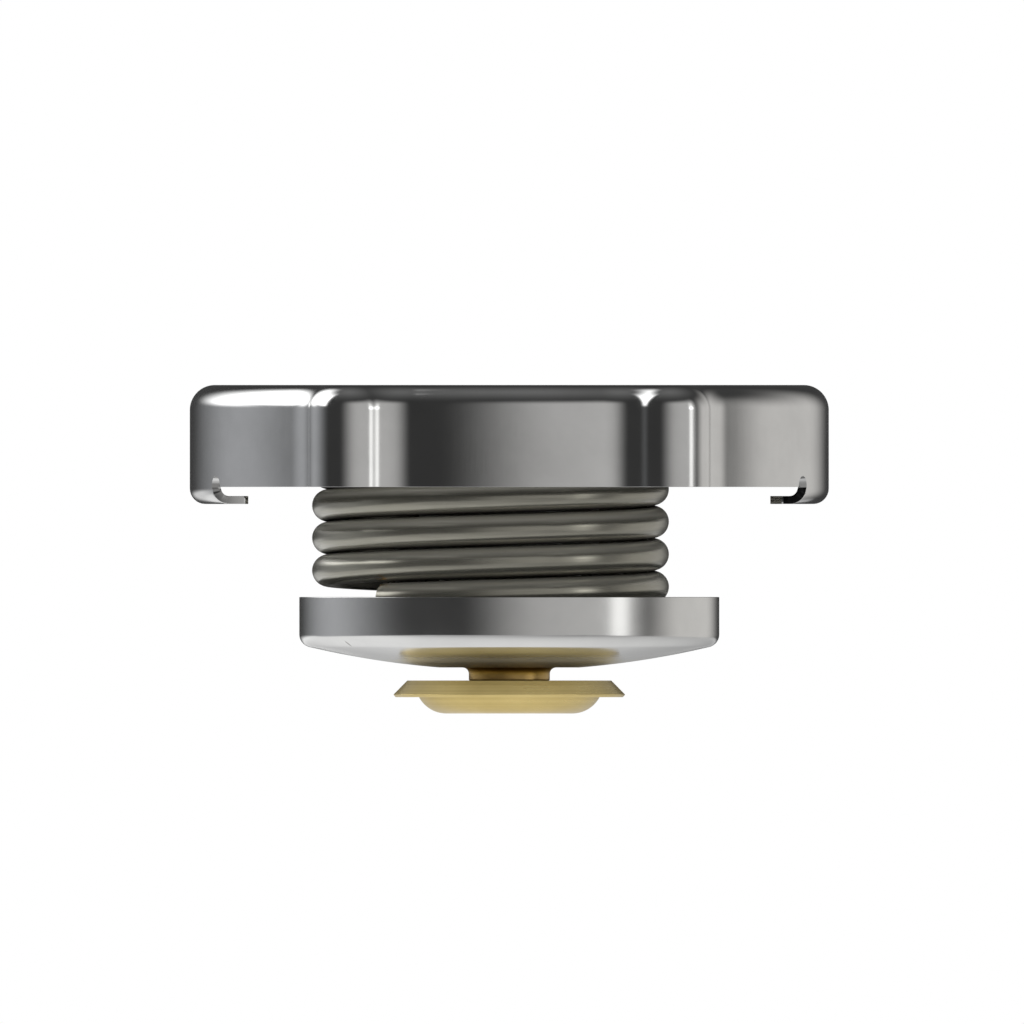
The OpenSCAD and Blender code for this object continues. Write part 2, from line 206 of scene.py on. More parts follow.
def makeStudioDome():
    bm = bmesh.new()
    bmesh.ops.create_uvsphere(bm, u_segments=96, v_segments=48, radius=studio["domeSize"])
    dome = addObject("studioDome", meshFrom("studioDome", bm))
    material, tree = newMaterial("studioRoom")
    dome.data.materials.append(material)
    tree.nodes.clear()
    x, y, z = sidesOf(tree, objectSpot(tree))
    azimuth = addMath(tree, "DEGREES", addMath(tree, "ARCTAN2", x, multiply(tree, y, -1.0)))
    elevation = addMath(tree, "DEGREES", addMath(tree, "ARCTAN2", z, awayFrom(tree, x, y)))
    overhead = addRange(tree, elevation, studio["ceilingFrom"], studio["ceilingTo"],
                        0, studio["ceilingGlow"], True)
    room = addMath(tree, "ADD", overhead, studio["roomGlow"])
    total = joinSides(tree, {0: room, 1: room, 2: room})
    group = softboxGroup()
    for *edges, strength, colour in studio["softboxes"].values():
        values = {"Azimuth": azimuth, "Elevation": elevation, **dict(zip(softboxEdges, edges))}
        mask = addNode(tree, "ShaderNodeGroup", values, node_tree=group).outputs["Mask"]
        tinted = addVector(tree, "SCALE", {0: [c * strength for c in colour], "Scale": mask})[0]
        total = addVector(tree, "ADD", {0: total, 1: tinted})[0]
    shine = addNode(tree, "ShaderNodeEmission", {"Color": total})
    addNode(tree, "ShaderNodeOutputMaterial", {"Surface": shine.outputs[0]})
    # only reflections see the room, so the ground stays white from every side
    dome.visible_camera = dome.visible_diffuse = dome.visible_transmission = dome.visible_shadow = False


# table: pale to the eye, and in reflections white near the cap, with painted shade, and nothing of it far off
tableLook = {
    "size": 1200, "pale": (0.88, 0.88, 0.88, 1), "rough": 0.9, "sheen": 0.1, "bright": 1.05,
    "left": 60, "right": 50, "front": 70, "back": 60, "soft": 12, "opensFrom": 20, "opens": 0.5,
    "shadeAt": (2, 25, 0), "shadeFrom": 16, "shadeTo": 42, "shadeDepth": 0.5,
    "dimFromX": -10, "dimToX": 45, "rightDim": 0.58, "dimFromY": -18, "dimToY": -45, "frontDim": 0.6,
    "runOutFrom": 45, "runOutTo": 100,
}


def makeTable():
    look = tableLook
    bm = bmesh.new()
    bmesh.ops.create_circle(bm, cap_ends=True, segments=96, radius=look["size"] * mm)
    floor = addObject("floor", meshFrom("floor", bm))
    material, tree = newMaterial("paleTable")
    floor.data.materials.append(material)
    shader = tree.nodes["Principled BSDF"]
    for label, key in (("Base Color", "pale"), ("Roughness", "rough"), ("Specular IOR Level", "sheen")):
        feed(tree, shader.inputs[label], look[key])
    path = addNode(tree, "ShaderNodeLightPath").outputs
    spot = objectSpot(tree)
    x, y, _ = sidesOf(tree, spot)

    def fade(value, start, end, first, last):
        return addRange(tree, value, look[start] * mm, look[end] * mm, first, last, True)

    # the left side opens towards the back
    behind = addMath(tree, "MAXIMUM", addMath(tree, "SUBTRACT", y, look["opensFrom"] * mm), 0.0)
    leftward = addMath(tree, "SUBTRACT", multiply(tree, x, -1.0), multiply(tree, behind, look["opens"]))
    forward = multiply(tree, y, -1.0)
    far = 0.0
    for reach, side in ((leftward, "left"), (x, "right"), (y, "back"), (forward, "front")):
        edges = [(look[side] + look["soft"] * sign) * mm for sign in (-1, 1)]
        far = addMath(tree, "MAXIMUM", addRange(tree, reach, *edges, 0, 1, True), far)
    # painted shade: the cap's own shade on the ground behind it, and the ground dimmer to the right and to
    # the front, as reflections see it
    lit = fade(distanceTo(tree, spot, look["shadeAt"]), "shadeFrom", "shadeTo", 1 - look["shadeDepth"], 1)
    lit = multiply(tree, lit, fade(x, "dimFromX", "dimToX", 1, look["rightDim"]))
    lit = multiply(tree, lit, fade(y, "dimToY", "dimFromY", look["frontDim"], 1))
    white = addNode(tree, "ShaderNodeEmission", {"Strength": multiply(tree, lit, look["bright"])})
    reflected = addMix(tree, far, white, addNode(tree, "ShaderNodeBsdfTransparent"))
    # away from the cap the ground runs out into the white background
    runOut = fade(addVector(tree, "LENGTH", {0: spot})["Value"], "runOutFrom", "runOutTo", 0, 1)
    seen = addMix(tree, multiply(tree, runOut, path["Is Camera Ray"]), shader,
                  addNode(tree, "ShaderNodeEmission"))
    mirrored = addMath(tree, "MAXIMUM", path["Is Glossy Ray"], path["Is Transmission Ray"])
    surface = tree.nodes["Material Output"].inputs["Surface"]
    feed(tree, surface, addMix(tree, mirrored, seen, reflected).outputs[0])


def makeWorld():
    world = bpy.data.worlds.new("studioWorld")
    scene.world = world
    world.use_nodes = True
    tree = world.node_tree
    tree.nodes.clear()
    path = addNode(tree, "ShaderNodeLightPath").outputs
    seen = addMath(tree, "MAXIMUM", path["Is Camera Ray"],
                   addMath(tree, "MAXIMUM", path["Is Glossy Ray"], path["Is Transmission Ray"]))
    white = addNode(tree, "ShaderNodeBackground", {"Color": (1, 1, 1, 1), "Strength": 1.0})
    fill = addNode(tree, "ShaderNodeBackground", {"Color": (1, 1, 1, 1), "Strength": studio["fillLight"]})
    addNode(tree, "ShaderNodeOutputWorld", {"Surface": addMix(tree, seen, fill, white).outputs[0]})


keyLook = {"wide": 500, "neckShadeShare": 400, "power": 3.0, "place": (-550, 350, 700), "aim": (0, 0, 20)}


def makeKeyLight():
    data = bpy.data.lights.new("keySoftbox", "AREA")
    data.shape = "RECTANGLE"
    data.size, data.size_y = keyLook["wide"] * mm, keyLook["neckShadeShare"] * mm
    data.energy = keyLook["power"]
    light = addObject("keySoftbox", data)
    light.location = Vector(keyLook["place"]) * mm
    aim = (Vector(keyLook["aim"]) - Vector(keyLook["place"])) * mm
    light.rotation_euler = aim.to_track_quat("-Z", "Y").to_euler()
    light.visible_glossy = False   # the softbox on the dome is the one that the metal shows


makeStudioDome()
makeTable()
makeWorld()
makeKeyLight()
print("studio ready:", len(studio["softboxes"]), "softboxes")


# shared surface effects
def fineWearGroup():
    # uneven polish, hairline scratches and a fine grain, all on object coordinates
    scales = {"Grain Scale": 3000, "Scratch Scale": 140, "Scratch Width": 0.012}
    tree, given, out = newGroup("fineWear", scales, ["Polish", "Scratches", "Grain"])
    spot = objectSpot(tree)
    feed(tree, out["Polish"], addNoise(tree, spot, {"Scale": 90.0, "Detail": 5.0, "Roughness": 0.6}))
    feed(tree, out["Grain"], addNoise(tree, spot, {"Scale": given["Grain Scale"], "Detail": 2.0}))
    # thin level lines of a slow noise read as long curved hairlines, kept only in some patches
    hair = addNoise(tree, spot, {"Scale": given["Scratch Scale"], "Detail": 1.0, "Distortion": 0.6})
    offLine = addMath(tree, "ABSOLUTE", addMath(tree, "SUBTRACT", hair, 0.5))
    line = addRange(tree, offLine, 0.0, given["Scratch Width"], 1, 0)
    patch = addNoise(tree, spot, {"Scale": 260.0, "Detail": 2.0})
    feed(tree, out["Scratches"], multiply(tree, line, addRange(tree, patch, 0.5, 0.62, 0, 1)))
    return tree


def roundMarksGroup():
    # rings about the axis from turning or spinning, and draw marks that run up a wall
    tree, given, out = newGroup("roundMarks", {"Ring Scale": 6000, "Draw Scale": 60}, ["Rings", "Draw Marks"])
    x, y, z = sidesOf(tree, objectSpot(tree))
    away = awayFrom(tree, x, y)
    # hardly any height goes into the rings, so walls get no level streaks
    ringSpot = joinSides(tree, {0: away, 1: multiply(tree, z, 0.05)})
    feed(tree, out["Rings"], addNoise(tree, ringSpot, {"Scale": given["Ring Scale"], "Detail": 2.0}))
    # a direction on the unit circle has no seam, and a slow rise along z stretches the marks
    ahead = [addMath(tree, "DIVIDE", side, away) for side in (x, y)]
    wallSpot = joinSides(tree, {0: ahead[0], 1: ahead[1], 2: multiply(tree, z, 4.0)})
    draw = addNoise(tree, wallSpot, {"Scale": given["Draw Scale"], "Detail": 4.0, "Roughness": 0.6})
    feed(tree, out["Draw Marks"], draw)
    return tree


fineWear = fineWearGroup()
roundMarks = roundMarksGroup()

# most of a noise lies between these two
noiseLow, noiseHigh = 0.3, 0.7


# wear is the scales of grain and scratches and the width of scratches, marks those of rings and draw marks
def startFinish(name, look):
    material, tree = newMaterial(name)
    skin = tree.nodes["Principled BSDF"].inputs
    feed(tree, skin["Metallic"], look["metallic"])
    effects = {}
    for group, scales in ((fineWear, look["wear"]), (roundMarks, look.get("marks"))):
        if scales:
            node = addNode(tree, "ShaderNodeGroup", dict(enumerate(scales)), node_tree=group)
            effects.update({socket.name: socket for socket in node.outputs})
    return material, tree, skin, effects


def colourBetween(tree, factor, first, second):
    # a colour is a tuple here, or the socket of a colour made before
    first, second = [(*c, 1) if isinstance(c, tuple) else c for c in (first, second)]
    ends = {"Factor": factor, 6: first, 7: second}
    return addNode(tree, "ShaderNodeMix", ends, data_type="RGBA").outputs[2]


def noiseRange(tree, noise, start, end):
    return addRange(tree, noise, noiseLow, noiseHigh, start, end)


def bumpFrom(tree, height, strength, skin):
    bump = addNode(tree, "ShaderNodeBump", {"Strength": strength, "Distance": 0.1 * mm, "Height": height})
    feed(tree, skin["Normal"], bump.outputs["Normal"])


polishLook = {"metallic": 1.0, "dull": (0.56, 0.56, 0.555), "clear": (0.66, 0.66, 0.655),
              "smoothest": 0.10, "roughest": 0.17, "scratchRough": 0.03, "bump": 0.03,
              "wear": (2600, 120, 0.006), "marks": (2500, 45), "marksTo": 30.2, "marksGone": 31.2}


def makePolishedSteel():
    look = polishLook
    material, tree, skin, effects = startFinish("polishedSteel", look)
    clear = noiseRange(tree, effects["Polish"], 0, 1)
    feed(tree, skin["Base Color"], colourBetween(tree, clear, look["dull"], look["clear"]))
    # draw marks are on the wall and fade out over the crown
    z = sidesOf(tree, objectSpot(tree))["Z"]
    onWall = addRange(tree, z, look["marksTo"] * mm, look["marksGone"] * mm, 1, 0, True)
    drawn = addMath(tree, "MULTIPLY_ADD", addMath(tree, "SUBTRACT", effects["Draw Marks"], 0.5), onWall, 0.5)
    uneven = addShares(tree, effects["Polish"], 0.6, drawn, 0.4)
    rough = noiseRange(tree, uneven, look["smoothest"], look["roughest"])
    scratched = multiply(tree, effects["Scratches"], look["scratchRough"])
    feed(tree, skin["Roughness"], addMath(tree, "ADD", rough, scratched))
    bumpFrom(tree, drawn, look["bump"], skin)
    return material


satinLook = {"metallic": 1.0, "dull": (0.58, 0.58, 0.575), "clear": (0.67, 0.67, 0.66),
             "smoothest": 0.13, "roughest": 0.19, "scratchRough": 0.03, "bump": 0.015,
             "wear": (3200, 160, 0.01), "marks": (3500, 70),
             "nick": (0.12, 0.11, 0.1), "nickAt": (-16.1, -12.8, 6.97), "nickSize": (0.55, 2, 0.08),
             "nickLean": 38,
             # the neck's own tint, then painted shade where the plate meets the neck
             "neckTint": (0.64, 0.46, 0.2), "neckShadeTint": (0.5, 0.34, 0.1), "neckFrom": 4.3, "neckTo": 6.6,
             "neckTop": 4.9, "neckSoft": 0.2, "neckShadeFrom": 3.68, "neckShadeTo": 3.95,
             "dullFrom": 12.5, "dullTo": 17.5, "dullRough": 0.2}


def makeSatinSteel():
    look = satinLook
    material, tree, skin, effects = startFinish("satinSteel", look)
    spot = objectSpot(tree)
    x, y, z = sidesOf(tree, spot)
    away = awayFrom(tree, x, y)
    plain = colourBetween(tree, noiseRange(tree, effects["Polish"], 0, 1), look["dull"], look["clear"])
    # one short dark nick on the turn of the cup
    nick = addNode(tree, "ShaderNodeMapping", {
        "Vector": spot, "Location": [v * mm for v in look["nickAt"]],
        "Rotation": (0, radians(look["nickLean"]), 0), "Scale": [v * mm for v in look["nickSize"]],
    }, vector_type="TEXTURE")
    offNick = addVector(tree, "LENGTH", {0: nick.outputs[0]})["Value"]
    nicked = colourBetween(tree, addRange(tree, offNick, 0.5, 1.0, 0.5, 0), plain, look["nick"])
    # the drawn neck over the brass valve is stained golden brown, and from the fillet up, on the fillet and
    # the underside round it, it is darker brown: painted shade where the plate meets the neck
    near = addRange(tree, away, look["neckFrom"] * mm, look["neckTo"] * mm, 1, 0, True)
    under = addRange(tree, z, look["neckTop"] * mm, (look["neckTop"] + look["neckSoft"]) * mm, 1, 0)
    neckShadeShare = addRange(tree, z, look["neckShadeFrom"] * mm, look["neckShadeTo"] * mm, 0, 1)
    neckTintAndShade = colourBetween(tree, neckShadeShare, look["neckTint"], look["neckShadeTint"])
    feed(tree, skin["Base Color"], colourBetween(tree, multiply(tree, near, under), nicked, neckTintAndShade))
    # the middle is duller than the rim
    uneven = addShares(tree, effects["Polish"], 0.5, effects["Rings"], 0.5)
    rough = noiseRange(tree, uneven, look["smoothest"], look["roughest"])
    rough = addMath(tree, "ADD", rough, multiply(tree, effects["Scratches"], look["scratchRough"]))
    middle = addRange(tree, away, look["dullFrom"] * mm, look["dullTo"] * mm, look["dullRough"], 0, True)
    feed(tree, skin["Roughness"], addMath(tree, "ADD", rough, middle))
    bumpFrom(tree, effects["Rings"], look["bump"], skin)
    return material


# on the wire, up is 1 on its top and -1 under it, and along is metres from the cut end
wireLook = {"metallic": 0.75, "topLitMetallic": 0.35,
            "dark": (0.275, 0.267, 0.223), "light": (0.325, 0.314, 0.267),
            "toneFrom": 0.34, "toneTo": 0.66, "smoothest": 0.2, "roughest": 0.27, "bump": 0.015,
            "wear": (2400, 200, 0.015), "lineStretch": 40.0, "lineScale": 9.0,
            # painted shade where the turns meet
            "gapShade": (0.03, 0.028, 0.022), "gapShadeUnder": (-0.7, -1.0), "gapShadeOver": (0.9, 1.0), "gapShadeOnTop": 0.8,
            "firstTurn": (0.099, 0.105), "gapShadeRough": 0.3,
            # painted light on the tops of the wire
            "topLight": (0.68, 0.66, 0.58), "topLightUp": (0.15, 0.6), "topLightAlong": (0.08, 0.27), "topLightLeast": 0.5,
            "rust": (0.34, 0.2, 0.06), "rustAt": (-12.9, -13.4, 13.15), "rustFull": 0.3, "rustSize": 0.9}


def makeSpringSteel():
    look = wireLook
    material, tree, skin, effects = startFinish("springSteel", look)

    def wireValue(name):
        return addNode(tree, "ShaderNodeAttribute", attribute_name=name).outputs

    # drawn lines follow the wire by the coil's own attributes
    along, up = wireValue("wireAlong")["Fac"], wireValue("wireUp")["Fac"]
    about = wireValue("wireRound")["Vector"]
    lengthwise = joinSides(tree, {2: multiply(tree, along, look["lineStretch"])})
    lineSpot = addVector(tree, "ADD", {0: about, 1: lengthwise})[0]
    drawn = addNoise(tree, lineSpot, {"Scale": look["lineScale"], "Detail": 3.0, "Roughness": 0.55})
    tone = addShares(tree, drawn, 0.6, effects["Polish"], 0.4)
    colour = colourBetween(tree, addRange(tree, tone, look["toneFrom"], look["toneTo"], 0, 1),
                           look["dark"], look["light"])
    # painted light: the tops of the wire are paler and less metallic, most on the upper turns
    topLit = multiply(tree, addRange(tree, up, *look["topLightUp"], 0, 1, True),
                       addRange(tree, along, *look["topLightAlong"], look["topLightLeast"], 1))
    colour = colourBetween(tree, topLit, colour, look["topLight"])
    feed(tree, skin["Metallic"], addRange(tree, topLit, 0, 1, look["metallic"], look["topLitMetallic"]))
    # painted shade: near-black where the turns meet, under each turn and on its top, but not under the first
    # turn
    below = multiply(tree, addRange(tree, up, *look["gapShadeUnder"], 0, 1, True),
                     addRange(tree, along, *look["firstTurn"], 0, 1))
    gapShade = addMath(tree, "MAXIMUM", below, addRange(tree, up, *look["gapShadeOver"], 0, look["gapShadeOnTop"], True))
    colour = colourBetween(tree, gapShade, colour, look["gapShade"])
    # rust specks beside the cut end
    offRust = distanceTo(tree, objectSpot(tree), look["rustAt"])
    close = addRange(tree, offRust, look["rustFull"] * mm, look["rustSize"] * mm, 1, 0)
    specks = multiply(tree, close, addRange(tree, effects["Grain"], 0.48, 0.56, 0, 1))
    feed(tree, skin["Base Color"], colourBetween(tree, specks, colour, look["rust"]))
    rough = noiseRange(tree, tone, look["roughest"], look["smoothest"])
    roughInGapShade = multiply(tree, gapShade, look["gapShadeRough"])
    feed(tree, skin["Roughness"], addMath(tree, "ADD", rough, roughInGapShade))
    bumpFrom(tree, addShares(tree, drawn, 0.8, effects["Grain"], 0.2), look["bump"], skin)
    return material


# plain finishes: shares of the effects give tone and height, and roughness follows grit or else tone
# near-black metal for the leading cut faces of the lugs: painted shade
shadeFaceLook = {"metallic": 1.0, "wear": (2200, 160, 0.01),
             "tone": {"Polish": 0.6, "Grain": 0.4}, "tones": (0.45, 0.7),
             "dark": (0.012, 0.012, 0.013), "light": (0.05, 0.05, 0.052),
             "rough": (0.5, 0.3), "height": {"Grain": 1}, "bump": 0.1}
platedLook = {"metallic": 1.0, "wear": (2800, 180, 0.012), "marks": (3000, 80),
              "tone": {"Polish": 1}, "tones": (noiseLow, noiseHigh),
              "dark": (0.42, 0.42, 0.41), "light": (0.60, 0.60, 0.585),
              "grit": {"Grain": 0.5, "Rings": 0.5}, "rough": (0.26, 0.40),
              "height": {"Grain": 0.5, "Rings": 0.5}, "bump": 0.08}
brassLook = {"metallic": 0.75, "wear": (3000, 200, 0.012), "marks": (5200, 40),
             "tone": {"Polish": 0.55, "Rings": 0.45}, "tones": (0.32, 0.66),
             "dark": (0.58, 0.45, 0.17), "light": (0.79, 0.63, 0.27),
             "rough": (0.38, 0.24), "height": {"Rings": 0.9, "Grain": 0.2}, "bump": 0.16}
rubberLook = {"metallic": 0.0, "wear": (1800, 160, 0.01),
              "tone": {"Polish": 0.6, "Grain": 0.4}, "tones": (noiseLow, noiseHigh),
              "dark": (0.012, 0.012, 0.012), "light": (0.034, 0.033, 0.032),
              "rough": (0.5, 0.72), "height": {"Grain": 1}, "bump": 0.25}


def makePlainFinish(name, look):
    material, tree, skin, effects = startFinish(name, look)

    def blend(shares):
        parts = [multiply(tree, effects[effect], share) for effect, share in shares.items()]
        return addMath(tree, "ADD", *parts) if len(parts) > 1 else parts[0]

    factor = addRange(tree, blend(look["tone"]), *look["tones"], 0, 1)
    feed(tree, skin["Base Color"], colourBetween(tree, factor, look["dark"], look["light"]))
    feed(tree, skin["Roughness"], noiseRange(tree, blend(look.get("grit", look["tone"])), *look["rough"]))
    bumpFrom(tree, blend(look["height"]), look["bump"], skin)
    return material


polishedSteel = makePolishedSteel()
satinSteel = makeSatinSteel()
springSteel = makeSpringSteel()
paintedShadeFace = makePlainFinish("paintedShadeFace", shadeFaceLook)
platedSteel = makePlainFinish("platedSteel", platedLook)
turnedBrass = makePlainFinish("turnedBrass", brassLook)
blackRubber = makePlainFinish("blackRubber", rubberLook)
print("materials ready: seven finishes from two shared groups")


# mesh helpers, all sizes in millimetres
def arcPath(centreX, centreY, radius, start, end, steps):
    turns = [radians(start + (end - start) * i / steps) for i in range(steps + 1)]
    return [(centreX + radius * cos(t), centreY + radius * sin(t)) for t in turns]


def filletPath(corners, closed=False, steps=5):
    # each corner is radius, height and rounding, and a plain corner has rounding 0
    path, count = [], len(corners)
    mostOfSide = 0.48   # a rounding takes less than half of either side
    for i, (r, z, rounding) in enumerate(corners):
        here = Vector((r, z))
        if rounding <= 0 or (not closed and i in (0, count - 1)):
            path.append((r, z))
            continue
        before = Vector(corners[i - 1][:2]) - here
        after = Vector(corners[(i + 1) % count][:2]) - here
        half = before.angle(after) / 2
        reach = min(rounding / tan(half), before.length * mostOfSide, after.length * mostOfSide)
        centre = here + (before.normalized() + after.normalized()).normalized() * (reach / cos(half))
        first = here + before.normalized() * reach - centre
        last = here + after.normalized() * reach - centre
        start = degrees(atan2(first.y, first.x))
        sweep = (degrees(atan2(last.y, last.x)) - start + 180) % 360 - 180
        path += arcPath(centre.x, centre.y, first.length, start, start + sweep, steps)
    return path


def shadeMesh(mesh, sharp):
    for face in mesh.polygons:
        face.use_smooth = True
    mesh.set_sharp_from_angle(angle=radians(sharp))


def finishMesh(name, bm, bevel=0.0, sharp=35, eased=lambda spot: True):
    # merged, turned outwards, chosen edges eased, normals weighted so flats stay flat
    mergeWithin, easedFrom = 1e-8, radians(50)
    bmesh.ops.remove_doubles(bm, verts=bm.verts, dist=mergeWithin)
    bmesh.ops.recalc_face_normals(bm, faces=bm.faces)
    if bevel:
        edges = [e for e in bm.edges if e.is_manifold and e.calc_face_angle() > easedFrom
                 and all(eased(v.co / mm) for v in e.verts)]
        bmesh.ops.bevel(bm, geom=edges, offset=bevel * mm, segments=2, profile=0.5, affect="EDGES",
                        clamp_overlap=False, material=-1)
    mesh = meshFrom(name, bm)
    shadeMesh(mesh, sharp)
    rough = addObject(name + "Rough", mesh)
    weigh = rough.modifiers.new("weigh", "WEIGHTED_NORMAL")
    weigh.keep_sharp = True
    depsgraph = bpy.context.evaluated_depsgraph_get()
    done = bpy.data.meshes.new_from_object(rough.evaluated_get(depsgraph), depsgraph=depsgraph)
    done.name = name
    bpy.data.objects.remove(rough)
    return done


def latheMesh(name, path, closed=False, segments=160):
    bm = bmesh.new()
    rings = []
    turns = [2 * pi * k / segments for k in range(segments)]
    for r, z in path:
        if r < 1e-6:   # a point on the axis
            rings.append([bm.verts.new((0, 0, z * mm))])
        else:
            rings.append([bm.verts.new((r * cos(t) * mm, r * sin(t) * mm, z * mm)) for t in turns])
    for low, high in zip(rings, rings[1:] + (rings[:1] if closed else [])):
        for k in range(segments):
            after = (k + 1) % segments
            corners = (low[k % len(low)], low[after % len(low)], high[after % len(high)], high[k % len(high)])
            bm.faces.new(dict.fromkeys(corners))
    return finishMesh(name, bm)


def placePiece(name, mesh, material, body, node):
    if not mesh.materials:
        mesh.materials.append(material)
    piece = addObject(name, mesh)
    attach(piece, body)
    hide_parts(node)
    print("made", name, "-", len(mesh.polygons), "faces")
    return piece


def placeLathe(name, path, material, body, node, slotName, **turning):
    placePiece(name, latheMesh(name, path, **turning), material, body, node)


# cap shell: one sheet over a lobed outline, lugs bent out of its rim
shellLook = {
    "sheet": 0.8, "crownRound": 2.5, "rimHeight": 22.65,
    "knobRound": 4.13, "knobOut": 2.12, "knobAngle": 57.65, "earHollow": 6.39, "gripHollow": 4.4,
    "lugWidth": 23.7, "lugReach": 5.85, "lugBend": 0.75, "lugLead": 1.3, "lugTrail": 0.5,
    "reliefRound": 0.9, "reliefRise": 0.2, "reliefOff": 0.83,
    "recessTop": 9.4, "recessFloor": 8.5, "recessDeep": 1.55, "rivetHole": 2.53, "flatEdge": 13,
    "pressRound": 0.5, "pressInner": 0.4, "pressHold": 0.6,
    "edgeEase": 0.03, "edgeHold": 0.06, "crispBefore": 0.4, "crispAfter": 0.6,
    "wallRows": (0.3, 0.65), "earGap": 0.1, "earSpread": 1.4,
    "steps": {"lug": 15, "relief": 14, "ear": 15, "earHollow": 14, "knob": 36, "gripHollow": 18, "grip": 12,
              "crown": 24, "innerCrown": 10, "bend": 8},
}


def apex(reach, spot, gap, side):
    # the point at reach from the axis and gap from spot
    along = (reach ** 2 + spot.length ** 2 - gap ** 2) / (2 * spot.length)
    ahead = spot.normalized()
    return ahead * along + Vector((-ahead.y, ahead.x)) * side * sqrt(reach ** 2 - along ** 2)


def bearing(start, end):
    return degrees(atan2(end.y - start.y, end.x - start.x))


def quarterTurn(count):
    return [pi / 2 * i / count for i in range(count + 1)]


def makeCapShell():
    look, steps = shellLook, shellLook["steps"]
    low, high = boxMm("cap_shell")
    earR, gripR, topZ, lugZ = high.x, high.y, high.z, low.z
    sheet, crown, rimZ, hold = look["sheet"], look["crownRound"], look["rimHeight"], look["edgeHold"]
    half, lead, trail = look["lugWidth"] / 2, look["lugLead"], look["lugTrail"]
    hole = look["reliefRound"]
    holeY, holeZ = half + hole * look["reliefOff"], rimZ + look["reliefRise"]
    holeEnd = degrees(asin((holeY + hole) / earR))
    axis = Vector((0, 0))
    knobTurn = radians(look["knobAngle"])
    knob = Vector((cos(knobTurn), sin(knobTurn))) * (earR + look["knobOut"] - look["knobRound"])
    earBlend = apex(earR + look["earHollow"], knob, look["knobRound"] + look["earHollow"], -1)
    gripBlend = apex(gripR + look["gripHollow"], knob, look["knobRound"] + look["gripHollow"], 1)
    earEnd, gripEnd = bearing(axis, earBlend), bearing(axis, gripBlend)
    onLug = ("lug", "edge")

    # columns of a quarter: kind, arc centre, arc radius, +1 for a bulge or -1 for a hollow, angle
    columns = []

    def addEar(kind, y):
        columns.append([kind, axis, earR, 1, degrees(asin(y / earR))])

    def addArc(centre, radius, bulge, start, end, count):
        for i in range(1, count + 1):
            columns.append(["wall", centre, radius, bulge, start + (end - start) * i / count])

    for i in range(steps["lug"] + 1):
        addEar("lug", (half - lead) * i / steps["lug"])
    for y in (half - (lead + trail) / 2, half - trail, half - trail / 2):
        addEar("lug", y)
    addEar("edge", half)
    for i in range(1, steps["relief"] + 1):
        addEar("relief", holeY + hole * cos(acos(-look["reliefOff"]) * (1 - i / steps["relief"])))
    earStart = holeEnd + look["earGap"]
    for i in range(steps["ear"] + 1):
        share = (i / steps["ear"]) ** look["earSpread"]
        columns.append(["ear", axis, earR, 1, earStart + (earEnd - earStart) * share])
    addArc(earBlend, look["earHollow"], -1, 180 + earEnd, 360 + bearing(earBlend, knob), steps["earHollow"])
    addArc(knob, look["knobRound"], 1, bearing(knob, earBlend), bearing(knob, gripBlend), steps["knob"])
    addArc(gripBlend, look["gripHollow"], -1, 360 + bearing(gripBlend, knob), 180 + gripEnd,
           steps["gripHollow"])
    addArc(axis, gripR, 1, gripEnd, 90, steps["grip"])

    def acrossLug(angle, inset):
        return degrees(asin(earR * sin(radians(angle)) / (earR - inset)))

    def earAngle(angle, inset):
        # lug and relief columns stay in planes across the lug, and the rest of the ear follows evenly
        if angle <= holeEnd + 1e-6:
            return acrossLug(angle, inset)
        start = acrossLug(holeEnd, inset)
        return start + (angle - holeEnd) * (earEnd - start) / (earEnd - holeEnd)

    def outlinePoint(column, inset):
        kind, centre, radius, bulge, angle = column
        if kind != "wall":
            angle = earAngle(angle, inset)
        turn = radians(angle)
        return centre + Vector((cos(turn), sin(turn))) * (radius - bulge * inset)

    def rimAt(column):
        kind, angle = column[0], column[-1]
        if kind in ("wall", "ear"):
            return rimZ
        y = half if kind in onLug else earR * sin(radians(angle))
        return holeZ + sqrt(max(0, hole ** 2 - (y - holeY) ** 2))

    # the section of the recess, shared by all columns
    top, floor, recessZ = look["recessTop"], look["recessFloor"], topZ - look["recessDeep"]
    pressed = filletPath([
        (look["flatEdge"], topZ, 0), (top + look["pressHold"], topZ, 0), (top, topZ, look["pressRound"]),
        (floor, recessZ, look["pressInner"]), (floor - look["pressHold"], recessZ, 0),
        (look["rivetHole"], recessZ, 0), (look["rivetHole"], recessZ - sheet, 0),
        (floor + sheet, recessZ - sheet, look["pressRound"]), (top + sheet, topZ - sheet, look["pressInner"]),
        (look["flatEdge"], topZ - sheet, 0)])
    wallTop = topZ - crown

    def crownPoint(column, inset, radius, turn):
        reach = inset + radius * (1 - cos(turn))
        return (*outlinePoint(column, reach), wallTop + radius * sin(turn))

    def columnRows(column):
        # up the outside, over the crown into the recess, and back along the inside
        foot = rimAt(column)
        between = [foot + (wallTop - foot) * share for share in look["wallRows"]]
        heights = [foot, foot + hold, *between, wallTop - 2 * hold]
        rows = [(*outlinePoint(column, 0), z) for z in heights]
        rows += [crownPoint(column, 0, crown, turn) for turn in quarterTurn(steps["crown"])]
        rows.append((*outlinePoint(column, crown + 2 * hold), topZ))
        ahead = outlinePoint(column, 0).normalized()
        rows += [(ahead.x * r, ahead.y * r, z) for r, z in pressed]
        rows += [crownPoint(column, sheet, crown - sheet, turn)
                 for turn in reversed(quarterTurn(steps["innerCrown"]))]
        return rows + [(*outlinePoint(column, sheet), z) for z in reversed(heights)]

    bend = look["lugBend"] + sheet
    bendTop, bendX = lugZ + bend, earR - bend

    def lugRows(column, cut):
        # from the outside of the wall round the bend to the tip, and back along the upper face
        y = earR * sin(radians(column[-1]))
        tip = earR - look["lugReach"] + max(0, cut - (half - y))
        foot = rimAt(column)

        def spot(r, z):
